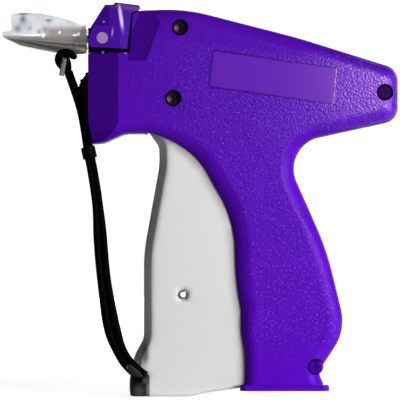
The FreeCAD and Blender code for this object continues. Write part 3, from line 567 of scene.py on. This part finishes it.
def casingMarks(tree, coords, x, z, side, spec):
    corners = spec["panel"]
    pairs = zip(corners, corners[1:] + corners[:1])
    edges = [edgeLine(tree, coords, *pair, spec["edgeWidth"]) for pair in pairs]
    paintedHighlight = edges.pop(1)  # the panel's rear edge gets a pale painted highlight, and painted shade lies along the rest
    paintedShade = joinMasks(tree, "ADD", edges)
    noseShade = spot(tree, x, z, *spec["noseShadeAt"])
    noseShade = addNode(tree, "Math", (noseShade, spec["noseShadeDepth"]), operation="MULTIPLY")
    # painted shade in the lever's seat
    start, end = (n * mm for n in spec["seatSide"])
    core = addNode(tree, "MapRange", (side, start, end, 1.0, 0.0))
    head = addNode(tree, "Math", (x, spec["seatRear"] * mm), operation="LESS_THAN")
    seat = addNode(tree, "Math", (core, head), operation="MULTIPLY")
    return [
        (paintedShade, spec["edgeShade"]),
        (paintedHighlight, spec["edgeHighlight"]),
        (noseShade, spec["noseShade"]),
        (seat, spec["seat"]),
    ]


def grainedAbs(spec):
    material, tree, shader = newMaterial(
        "grainedAbs", spec["base"], spec["roughness"], {"Specular Tint": colour(spec["shineTint"])}
    )
    coords, x, y, z = objectPlace(tree)
    side = addNode(tree, "Math", (y,), operation="ABSOLUTE")
    panel = insidePanel(tree, coords, spec["panel"])
    onSide = addNode(tree, "Math", (side, spec["panelSide"] * mm), operation="GREATER_THAN")
    onPanel = addNode(tree, "Math", (panel, onSide), operation="MULTIPLY")
    grained = grainMask(tree, coords, x, z, side, panel, spec)

    start, end = (n * mm for n in spec["gripFrom"])
    grip = addNode(tree, "MapRange", (z, start, end, 0.0, 1.0))
    light = layColours(tree, colour(spec["base"]), [(grip, spec["grip"])])
    mottle = addNode(tree, "TexNoise", pattern(coords, spec["mottle"]))
    tone = layColours(tree, colour(spec["deep"]), [(mottle, light)])
    # painted glints: pale specks over the grain
    specks = addNode(tree, "TexNoise", pattern(coords, spec["speckSize"], 2.0))
    specks = addNode(tree, "MapRange", (specks, *spec["speckFrom"], 0.0, spec["speckDepth"]))
    specks = addNode(tree, "Math", (specks, grained), operation="MULTIPLY")
    # painted highlights below the lever
    size = spec["glintSize"]
    paintedGlints = [spot(tree, x, z, place, size, size) for place in spec["paintedGlints"]]
    paintedGlints = joinMasks(tree, "ADD", paintedGlints)
    paintedGlints = addNode(tree, "Math", (paintedGlints, spec["glintDepth"]), operation="MINIMUM")
    layers = [(onPanel, spec["panelTone"]), *casingMarks(tree, coords, x, z, side, spec)]
    layers += [(specks, spec["speck"]), (paintedGlints, spec["paintedGlint"])]

    satin = addNode(tree, "Math", (grained, onPanel), operation="MAXIMUM")
    rough = addNode(
        tree, "MapRange", (satin, 0.0, 1.0, spec["smoothRoughness"], spec["roughness"])
    )
    atTail = spot(tree, x, z, spec["tailPlace"], spec["tailReach"], spec["tailReach"])
    grainShine = addNode(tree, "MapRange", (atTail, 0.0, 1.0, spec["shine"], spec["tailShine"]))
    shine = addNode(tree, "MapRange", (satin, 0.0, 1.0, spec["smoothShine"], grainShine))
    relief = leatherGrain(tree, coords, spec)
    relief = addNode(tree, "Math", (relief, grained), operation="MULTIPLY")
    inputs = {"Height": relief, "Strength": spec["strength"], "Distance": spec["depth"] * mm}
    finish = {
        "Base Color": layColours(tree, tone, layers),
        "Roughness": rough,
        "Specular IOR Level": shine,
        "Normal": addNode(tree, "Bump", inputs),
    }
    setInputs(shader, finish)
    return material


# ABS from a polished tool: the lever is glossy, with a pinkish thumb tab, darker along its upper
# rim, and painted highlights: pale lines where the cheek turns and a pale dot on the cheek's front

lever = {
    "base": "5414b2",
    "deep": "42089a",
    "mottle": 12.0,
    "roughness": 0.14,
    "ripple": 7.7,
    "rippleShare": 0.25,
    "rippleDepth": 0.3,
    # the tab starts on a sloping line, and its rim lies a little further up
    "tab": "6c3e84",
    "tabDepth": 0.85,
    "tabLine": 128.5,
    "tabSlope": 0.15,
    "tabBlend": 1.2,
    "tabEdge": "2b0a52",
    "tabRim": (2.0, 2.5),
    # each painted highlight line: its lean, its place when upright with half its width and height,
    # and how strong it is
    "paintedHighlight": "e9d6f6",
    "highlightMost": 0.9,
    "lines": [
        (0.14, ((-40.3, 134.9), 0.42, 2.9), 3.0),
        (-0.1, ((-75.2, 129.4), 0.24, 1.2), 0.6),
    ],
    # a painted highlight: a pale dot on the cheek's front
    "paintedGlint": ((-65.4, 133.2), 0.3, 0.3),
}


def polishedAbs(spec):
    material, tree, shader = newMaterial("polishedAbs", spec["base"], spec["roughness"], {})
    coords, x, _, z = objectPlace(tree)
    mottle = addNode(tree, "TexNoise", pattern(coords, spec["mottle"]))
    tone = layColours(tree, colour(spec["deep"]), [(mottle, spec["base"])])
    slope = addNode(tree, "Math", (x, spec["tabSlope"]), operation="MULTIPLY")
    rise = addNode(tree, "Math", (z, slope), operation="ADD")
    foot = spec["tabLine"]
    top = foot + spec["tabBlend"]
    onTab = addNode(tree, "MapRange", (rise, foot * mm, top * mm, 0.0, spec["tabDepth"]))
    start, end = ((foot + n) * mm for n in spec["tabRim"])
    onRim = addNode(tree, "MapRange", (rise, start, end, 0.0, 1.0))
    # painted highlights: the dot and the pale lines
    marks = [spot(tree, x, z, *spec["paintedGlint"])]
    for lean, place, strength in spec["lines"]:
        leaning = addNode(tree, "Math", (z, lean), operation="MULTIPLY")
        leaning = addNode(tree, "Math", (x, leaning), operation="ADD")
        line = spot(tree, leaning, z, *place)
        marks.append(addNode(tree, "Math", (line, strength), operation="MULTIPLY"))
    paintedHighlight = joinMasks(tree, "ADD", marks)
    paintedHighlight = addNode(tree, "Math", (paintedHighlight, spec["highlightMost"]), operation="MINIMUM")
    layers = [(onTab, spec["tab"]), (onRim, spec["tabEdge"]), (paintedHighlight, spec["paintedHighlight"])]
    ripple = addNode(tree, "TexNoise", pattern(coords, spec["ripple"]))
    ripple = addNode(tree, "Math", (ripple, spec["rippleShare"]), operation="MULTIPLY")
    inputs = {"Height": ripple, "Strength": 1.0, "Distance": spec["rippleDepth"] * mm}
    bump = addNode(tree, "Bump", inputs)
    setInputs(shader, {"Base Color": layColours(tree, tone, layers), "Normal": bump})
    return material


# other moulded plastics: a satin face from a fine spark-eroded tool, drawn at a coarser
# 1 mm so that it shows; the trigger has a soft brown painted shadow along the casing's edge,
# with painted shade in the hollow over its foot, and its edges look softened

mouldedFace = {
    "mottle": 16.0,
    "patch": 4.0,  # the size of duller and shinier patches
    "duller": 0.05,
    "shinier": 0.04,
    "spark": 1.1,
    "sparkDepth": 0.1,
    "bevelSamples": 8,
}

# painted shadow: a soft brown line along the casing's edge, and painted shade in the hollow over
# the foot
casingShadow = {
    "line": [
        (-50.0, 92.8),
        (-45.0, 91.9),
        (-39.4, 89.5),
        (-33.6, 84.9),
        (-29.0, 79.7),
        (-25.1, 72.9),
        (-21.2, 66.1),
        (-19.0, 60.2),
        (-18.1, 52.4),
        (-17.3, 39.4),
        (-15.7, 27.7),
        (-14.4, 13.4),
        (-14.4, 1.7),
    ],
    "width": 2.1,
    "past": 0.8,  # how far the line's runs overlap at its corners
    "colour": "7d7068",
    "depth": 0.7,
    "hollow": [((-50.4, 13.2), 1.3, 3.6, "7c7b78")],
}


def paintCasingShadow(tree, coords, x, z, tone, spec):
    pairs = zip(spec["line"], spec["line"][1:])
    runs = [edgeLine(tree, coords, *pair, spec["width"], spec["past"]) for pair in pairs]
    shade = joinMasks(tree, "MAXIMUM", runs)
    shade = addNode(tree, "Math", (shade, spec["depth"]), operation="MULTIPLY")
    tone = layColours(tree, tone, [(shade, spec["colour"])])
    return addSoftSpots(tree, x, z, tone, spec["hollow"])


def mouldedPlastic(name, base, deep, roughness, bump=0.08, shine=0.5, softEdge=0.0, paintedShade=None):
    material, tree, shader = newMaterial(name, base, roughness, {"Specular IOR Level": shine})
    face = mouldedFace
    coords, x, _, z = objectPlace(tree)
    mottle = addNode(tree, "TexNoise", pattern(coords, face["mottle"]))
    patch = addNode(tree, "TexNoise", pattern(coords, face["patch"]))
    spark = addNode(tree, "TexNoise", pattern(coords, face["spark"]))
    tone = layColours(tree, colour(deep), [(mottle, base)])
    if paintedShade:
        tone = paintCasingShadow(tree, coords, x, z, tone, paintedShade)
    low, high = roughness - face["shinier"], roughness + face["duller"]
    rough = addNode(tree, "MapRange", (patch, *usualNoise, low, high))
    dents = {"Height": spark, "Strength": bump, "Distance": face["sparkDepth"] * mm}
    if softEdge:
        samples = face["bevelSamples"]
        dents["Normal"] = addNode(tree, "Bevel", {"Radius": softEdge * mm}, samples=samples)
    normal = addNode(tree, "Bump", dents)
    setInputs(shader, {"Base Color": tone, "Roughness": rough, "Normal": normal})
    return material


# steel and zinc: drawn or turned, with fine tool marks that break up the shine, drawn at a
# coarser 0.7 mm; the screws' black is tinted purple at the tail and foot as painted shade of
# their deep recesses, and two front screws carry a brown painted glint

toolMarks = {"size": 0.7, "duller": 0.1, "shinier": 0.08, "depth": 0.05, "strength": 0.1}

# painted shade over the tail and foot screws, and brown painted glints on two front screws
screwShadeAndGlints = [
    ((36.0, 107.6), 7.0, 7.0, "0e021e"),
    ((11.2, 8.6), 7.0, 7.0, "3c0a84"),
    ((-39.4, 130.8), 0.8, 0.8, "654a44"),
    ((-42.0, 105.1), 0.8, 0.8, "654a44"),
]


def turnedMetal(name, base, roughness, metallic=1.0, softSpots=()):
    material, tree, shader = newMaterial(name, base, roughness, {"Metallic": metallic})
    coords, x, _, z = objectPlace(tree)
    if softSpots:
        tone = addSoftSpots(tree, x, z, colour(base), softSpots)
        setInputs(shader, {"Base Color": tone})
    marks = addNode(tree, "TexNoise", pattern(coords, toolMarks["size"]))
    low, high = roughness - toolMarks["shinier"], roughness + toolMarks["duller"]
    rough = addNode(tree, "MapRange", (marks, *usualNoise, low, high))
    strength, depth = toolMarks["strength"], toolMarks["depth"]
    bump = addNode(tree, "Bump", {"Height": marks, "Strength": strength, "Distance": depth * mm})
    setInputs(shader, {"Roughness": rough, "Normal": bump})
    return material


# styrene, clear but thick and scuffed: milky white above its rib, with cool smears at the
# closed end, and grey below, in bands that fan out from the tip; its mouth has a painted glow
# that fills the lever's shadow, and the milky part and the painted glints along the rib glow a
# little too

capLook = {
    "roughness": 0.14,
    "ior": 1.59,
    "passes": (0.24, 0.1),  # how much light goes through below and above the rib
    "milk": "f6f8fb",
    "milkGlow": 0.07,
    "smear": "8d9ab0",
    "haze": "b0a6aa",
    "hazeTop": (130.4, 132.2),
    "hazeFront": (-88.5, -85.0),
    "split": (127.9, 128.7),
    # each smear is a place, half its width and height, and how strong it is
    "smears": [
        ((-94.8, 134.3), 1.2, 1.7, 0.85),
        ((-96.7, 130.9), 1.3, 1.3, 0.75),
        ((-95.0, 136.4), 2.4, 0.5, 0.9),
        ((-85.6, 133.9), 1.1, 0.5, 0.9),
        ((-88.9, 129.9), 0.6, 0.8, 0.7),
        ((-86.8, 130.8), 0.8, 0.6, 0.6),
        ((-92.3, 131.1), 0.7, 0.6, 0.5),
    ],
    "cloud": 0.2,
    "cloudSize": 4.2,
    "cloudFrom": (0.62, 0.44),  # the noise at which the cloud starts and is full
    # painted glow, from the closed end to the mouth, that fills the lever's shadow
    "inside": 0.03,
    "mouth": 0.24,
    "mouthGlowSpan": (-76.2, -73.6),
    # the bands: where they meet, the slope of the lowest, and the colours between
    "tip": (-101.0, 127.4),
    "fanSlope": 0.25,
    "waver": 0.05,
    "fan": [
        (0.0, "aaa8a6"),
        (0.16, "96938f"),
        (0.26, "b2b0ae"),
        (0.36, "635f5b"),
        (0.46, "726e69"),
        (0.55, "928e89"),
        (0.68, "5b5751"),
        (0.86, "514d46"),
        (1.0, "7e7a75"),
    ],
    # the glints are painted highlights: white, with a little glow
    "glintWhite": "ffffff",
    "glintStrength": 1.5,
    "glintGlow": 0.4,
    "glints": [
        ((-91.6, 128.55), 3.2, 0.28),
        ((-87.4, 128.5), 0.45, 0.7),
        ((-81.5, 129.6), 0.4, 0.45),
        ((-75.9, 128.6), 0.8, 0.35),
        ((-74.6, 129.0), 0.35, 0.5),
    ],
    "ripple": 3.3,
    "rippleStrength": 0.4,
    "rippleDepth": 0.6,
}


def milkyColour(tree, x, z, cloud, spec):
    blots = [addNode(tree, "MapRange", (cloud, *spec["cloudFrom"], 0.0, spec["cloud"]))]
    for place, wide, tall, depth in spec["smears"]:
        soft = spot(tree, x, z, place, wide, tall)
        blots.append(addNode(tree, "Math", (soft, depth), operation="MULTIPLY"))
    smear = joinMasks(tree, "ADD", blots)
    smear = addNode(tree, "Math", (smear, 1.0), operation="MINIMUM")
    start, end = (n * mm for n in spec["hazeTop"])
    below = addNode(tree, "MapRange", (z, start, end, 1.0, 0.0))
    start, end = (n * mm for n in spec["hazeFront"])
    behind = addNode(tree, "MapRange", (x, start, end, 0.0, 1.0))
    haze = addNode(tree, "Math", (below, behind), operation="MULTIPLY")
    return layColours(tree, colour(spec["milk"]), [(smear, spec["smear"]), (haze, spec["haze"])])


def flowColour(tree, x, z, cloud, spec):
    tipX, tipZ = (n * mm for n in spec["tip"])
    fall = addNode(tree, "Math", (tipZ, z), operation="SUBTRACT")
    away = addNode(tree, "Math", (x, tipX), operation="SUBTRACT")
    away = addNode(tree, "Math", (away, mm), operation="MAXIMUM")
    slope = addNode(tree, "Math", (fall, away), operation="DIVIDE")
    slope = addNode(tree, "Math", (slope, spec["fanSlope"]), operation="DIVIDE")
    waver = addNode(tree, "MapRange", (cloud, *usualNoise, -spec["waver"], spec["waver"]))
    flow = addNode(tree, "Math", (slope, waver), operation="ADD")
    tone = addNode(tree, "ValToRGB", {"Fac": flow}, "Color")
    stops = tone.node.color_ramp.elements
    while len(stops) < len(spec["fan"]):
        stops.new(0.5)
    for stop, (place, code) in zip(stops, spec["fan"]):
        stop.position = place
        stop.color = colour(code)
    return tone


def clearStyrene(spec):
    material, tree, shader = newMaterial(
        "clearStyrene", spec["milk"], spec["roughness"], {"IOR": spec["ior"]}
    )
    coords, x, _, z = objectPlace(tree)
    cloud = addNode(tree, "TexNoise", pattern(coords, spec["cloudSize"], 4.0))
    upper = milkyColour(tree, x, z, cloud, spec)
    lower = flowColour(tree, x, z, cloud, spec)
    start, end = (n * mm for n in spec["split"])
    split = addNode(tree, "MapRange", (z, start, end, 0.0, 1.0))
    passes = addNode(tree, "MapRange", (split, 0.0, 1.0, *spec["passes"]))
    glints = joinMasks(tree, "ADD", [spot(tree, x, z, *glint) for glint in spec["glints"]])
    glints = addNode(tree, "Math", (glints, spec["glintStrength"]), operation="MULTIPLY")
    glints = addNode(tree, "Math", (glints, 1.0), operation="MINIMUM")
    body = layColours(tree, lower, [(split, upper), (glints, spec["glintWhite"])])
    # painted light: the glints, the mouth and the milky part glow
    lit = addNode(tree, "Math", (glints, spec["glintGlow"]), operation="MULTIPLY")
    start, end = (n * mm for n in spec["mouthGlowSpan"])
    mouthGlow = addNode(tree, "MapRange", (x, start, end, spec["inside"], spec["mouth"]))
    milky = addNode(tree, "Math", (split, spec["milkGlow"]), operation="MULTIPLY")
    ripple = addNode(tree, "TexNoise", pattern(coords, spec["ripple"]))
    strength, depth = spec["rippleStrength"], spec["rippleDepth"]
    finish = {
        "Base Color": body,
        "Transmission Weight": passes,
        "Emission Color": body,
        "Emission Strength": joinMasks(tree, "ADD", [lit, mouthGlow, milky]),
        "Normal": addNode(
            tree, "Bump", {"Height": ripple, "Strength": strength, "Distance": depth * mm}
        ),
    }
    setInputs(shader, finish)
    return material


# elastic cord: rubber in a black polyester braid, whose strands lie 0.5 mm apart and run
# slantwise; the fold turns grey and brown towards its bottom and rear edge, and carries a
# painted glint where the lap starts

braid = {"apart": 0.518, "wander": 2.0, "strength": 0.35, "depth": 0.1, "roughness": 0.6}

# each spot: place, half width and height, colour; the last two are a painted glint
foldTonesAndGlint = [
    ((-52.9, -0.2), 1.9, 1.7, "4e464b"),
    ((-49.3, 0.6), 0.6, 2.6, "7d746f"),
    ((-50.3, 3.4), 1.0, 0.7, "4c4a48"),
    ((-57.1, 9.6), 0.3, 0.6, "8e8e90"),
    ((-56.8, 8.7), 0.3, 0.5, "6a6a6c"),
]


def elasticCord(name, base, deep, sheen, shine=0.12, softSpots=()):
    material, tree, shader = newMaterial(
        name, base, braid["roughness"], {"Sheen Weight": sheen, "Specular IOR Level": shine}
    )
    coords, x, _, z = objectPlace(tree)
    # a diagonal wave repeats each time x + y + z, times 10 and its scale, grows by 2 pi
    scale = 2.0 * math.pi / (10.0 * math.sqrt(3.0) * braid["apart"] * mm)
    inputs = {"Vector": coords, "Scale": scale, "Distortion": braid["wander"], "Detail": 1.0}
    bands = addNode(tree, "TexWave", inputs, "Fac", bands_direction="DIAGONAL")
    tone = layColours(tree, colour(deep), [(bands, base)])
    strength, depth = braid["strength"], braid["depth"]
    bump = addNode(tree, "Bump", {"Height": bands, "Strength": strength, "Distance": depth * mm})
    setInputs(shader, {"Base Color": addSoftSpots(tree, x, z, tone, softSpots), "Normal": bump})
    return material


# each row gives a name, colours and roughness, and then what sets that finish apart

materials = {
    "casing": grainedAbs(casing),
    "lever": polishedAbs(lever),
    "trigger": mouldedPlastic(
        "satinAbs", "e9e9e6", "e3e3e0", 0.4, bump=0.05, softEdge=4.0, paintedShade=casingShadow
    ),
    "steel": turnedMetal("springSteel", "c4c4c8", 0.26),
    "rollPin": turnedMetal("blackenedSteel", "5e5e62", 0.3),
    "stud": turnedMetal("satinSteelStud", "9d80b4", 0.4, metallic=0.45),
    "screw": turnedMetal("blackZincScrew", "1a0e22", 0.45, softSpots=screwShadeAndGlints),
    "clear": clearStyrene(capLook),
    "cord": elasticCord("elasticCord", "030303", "010101", sheen=0.0, shine=0.01),
    # the knot's tail: a lighter grey copy of the cord, painted light for its lit flat side
    "litCordCopy": elasticCord("litCordCopy", "6b6b6c", "2c2c2d", sheen=0.2, shine=0.4),
    "fold": elasticCord("cordFold", "0a0a0b", "030303", sheen=0.05, softSpots=foldTonesAndGlint),
    "black": mouldedPlastic("blackNylon", "0a090c", "050506", 0.42, bump=0.1, shine=0.14),
    "keeper": mouldedPlastic("mattBlackNylon", "050505", "020202", 0.6, bump=0.05, shine=0.02),
    "white": mouldedPlastic("acetal", "dedcd4", "cfcdc6", 0.45),
    "needleBase": mouldedPlastic("redNylon", "b8241c", "9a1c16", 0.4),
}

nodeMaterials = {
    "casing": ["left_shell", "right_shell"],
    "lever": ["needle_lock_lever"],
    "trigger": ["trigger"],
    "steel": [
        "needle",
        "cutter_blade",
        "clip_guide",
        "detent_spring",
        "trigger_pivot_pin",
        "rocker_pivot_pin",
        "return_spring",
        "drive_arm",
        "drive_pin",
        "slide_pin",
        "ejector_rod",
        "feed_shaft",
    ],
    "rollPin": ["roll_pin"],
    "stud": ["lever_pivot_pins"],
    "screw": ["housing_screws"],
    "clear": ["needle_cap"],
    "cord": ["tether_knot", "tether_anchor", "tether_upper", "tether_lower"],
    "black": ["feed_knob", "feed_wheel"],
    "keeper": ["cord_keeper"],
    "white": ["rocker", "ejector_slide", "ratchet_wheel"],
    "needleBase": ["needle_base"],
}


def setMaterial(obj, material):
    if not obj.material_slots:
        obj.data.materials.append(material)
    for slot in obj.material_slots:
        slot.material = material


for key, names in nodeMaterials.items():
    for name in names:
        setMaterial(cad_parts[name], materials[key])
for obj in (tetherUpper, tetherLower, tetherKnot):
    setMaterial(obj, materials["cord"])
setMaterial(tetherTail, materials["litCordCopy"])
setMaterial(tetherFold, materials["fold"])
print("materials set")


# how the pieces move

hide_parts("tether_upper")
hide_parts("tether_lower")
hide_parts("tether_knot")
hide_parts("tether_anchor")
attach(tetherKnot, "cap")
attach(tetherTail, "cap")
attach(tetherFold, "squeeze_trigger")


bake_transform(tetherUpper)
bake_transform(tetherLower)
print("pieces ride")


# floor, backdrop and light: the paper shows white to the camera, metal and glass, and the
# floor keeps the tool's shadow; lamps and places are in metres

studio = {
    "paper": "f6f6f6",
    "roughness": 0.9,
    "floorDrop": 0.2,  # in mm, below the tool's foot
    "floorGlow": (0.85, 1.0),  # near the tool and far behind it
    "floorFade": (0.15, 0.6),  # where the glow starts to rise and is full
    "half": 3.0,
    "backdropAt": 2.9,
    "backdropFoot": -1.0,
    "world": 0.03,
    "aim": (-0.02, 0.0, 0.07),
    "lamps": {
        "key": {"at": (0.72, -0.62, 0.08), "size": 0.3, "power": 13.9},
        "sheen": {"at": (0.083, -0.18, 0.138), "size": 0.04, "power": 0.85, "onlyGloss": True},
        "far": {"at": (0.2, 0.95, 0.1), "size": 0.7, "power": 6.0},
    },
}


def makePlane(name, corners):
    bm = bmesh.new()
    bm.faces.new([bm.verts.new(c) for c in corners])
    return meshObject(name, bm, smooth=False)


def glowingPaper(name, near, far):
    inputs = {"Specular IOR Level": 0.0, "Emission Color": colour("ffffff")}
    material, tree, shader = newMaterial(name, studio["paper"], studio["roughness"], inputs)
    _, _, y, _ = objectPlace(tree)
    rays = addNode(tree, "LightPath", ()).node.outputs
    kinds = [rays["Is Camera Ray"], rays["Is Glossy Ray"], rays["Is Transmission Ray"]]
    shown = joinMasks(tree, "MAXIMUM", kinds)
    glow = addNode(tree, "MapRange", (y, *studio["floorFade"], near, far))
    glow = addNode(tree, "Math", (glow, shown), operation="MULTIPLY")
    setInputs(shader, {"Emission Strength": glow})
    return material


half, back, foot = studio["half"], studio["backdropAt"], studio["backdropFoot"]
level = cadBox[0][2] - studio["floorDrop"] * mm
square = [(-half, -half), (half, -half), (half, half), (-half, half)]
floor = makePlane("floor", [(x, y, level) for x, y in square])
upright = [(-half, foot), (half, foot), (half, half), (-half, half)]
backdrop = makePlane("backdrop", [(x, back, z) for x, z in upright])
setMaterial(floor, glowingPaper("floorPaper", *studio["floorGlow"]))
setMaterial(backdrop, glowingPaper("backdropPaper", 1.0, 1.0))


def makeLamp(name, spec):
    data = bpy.data.lights.new(name, "AREA")
    data.size = spec["size"]
    data.energy = spec["power"]
    obj = bpy.data.objects.new(name, data)
    scene.collection.objects.link(obj)
    obj.location = spec["at"]
    aim = Vector(studio["aim"]) - Vector(spec["at"])
    obj.rotation_euler = aim.to_track_quat("-Z", "Y").to_euler()
    obj.visible_camera = False
    obj.visible_diffuse = not spec.get("onlyGloss", False)


for name, spec in studio["lamps"].items():
    makeLamp(name, spec)
world = bpy.data.worlds.new("studio")
world.use_nodes = True
setInputs(
    world.node_tree.nodes["Background"], {"Color": colour("ffffff"), "Strength": studio["world"]}
)
scene.world = world
print("lit")
